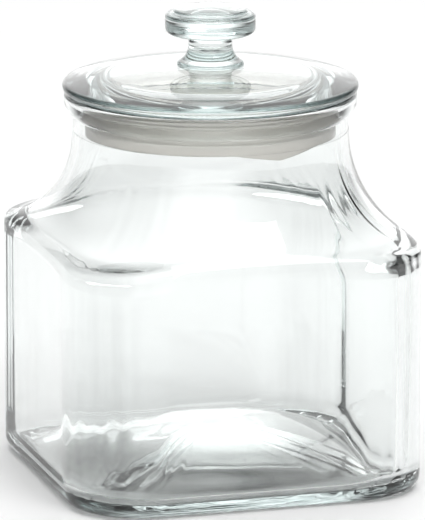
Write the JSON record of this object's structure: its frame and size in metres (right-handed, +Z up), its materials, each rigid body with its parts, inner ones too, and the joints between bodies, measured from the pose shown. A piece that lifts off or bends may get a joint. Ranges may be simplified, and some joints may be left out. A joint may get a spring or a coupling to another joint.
{
  "type": "lidded glass canister",
  "caption": "Square clear-glass storage canister with a round neck, a domed glass lid with a solid knob, and a flexible ribbed seal round the lid's plug.",
  "frame": {"origin": "centre of the base's resting face", "axes": "+Z up through the knob, X and Y square to the jar's flat sides"},
  "size_m": [0.165, 0.165, 0.2137],
  "materials": {
    "jar_glass": "clear soda-lime glass, fire polished, faint grey-green in its thickness",
    "lid_glass": "clear pressed soda-lime glass, fire polished",
    "seal": "soft translucent warm-grey plastic with a satin surface"
  },
  "bodies": {
    "canister": {"jar": "jar_glass"},
    "seal": {"lid_seal": "seal"},
    "cover": {"lid": "lid_glass"}
  },
  "joints": [
    {"name": "lid_lift", "type": "slide", "parent": "canister", "child": "seal", "axis": [0, 0, 1], "range_m": [0, 0.15]},
    {"name": "lid_turn", "type": "hinge", "parent": "seal", "child": "cover", "pos_m": [0, 0, 0.168], "axis": [0, 0, 1], "continuous": true}
  ]
}
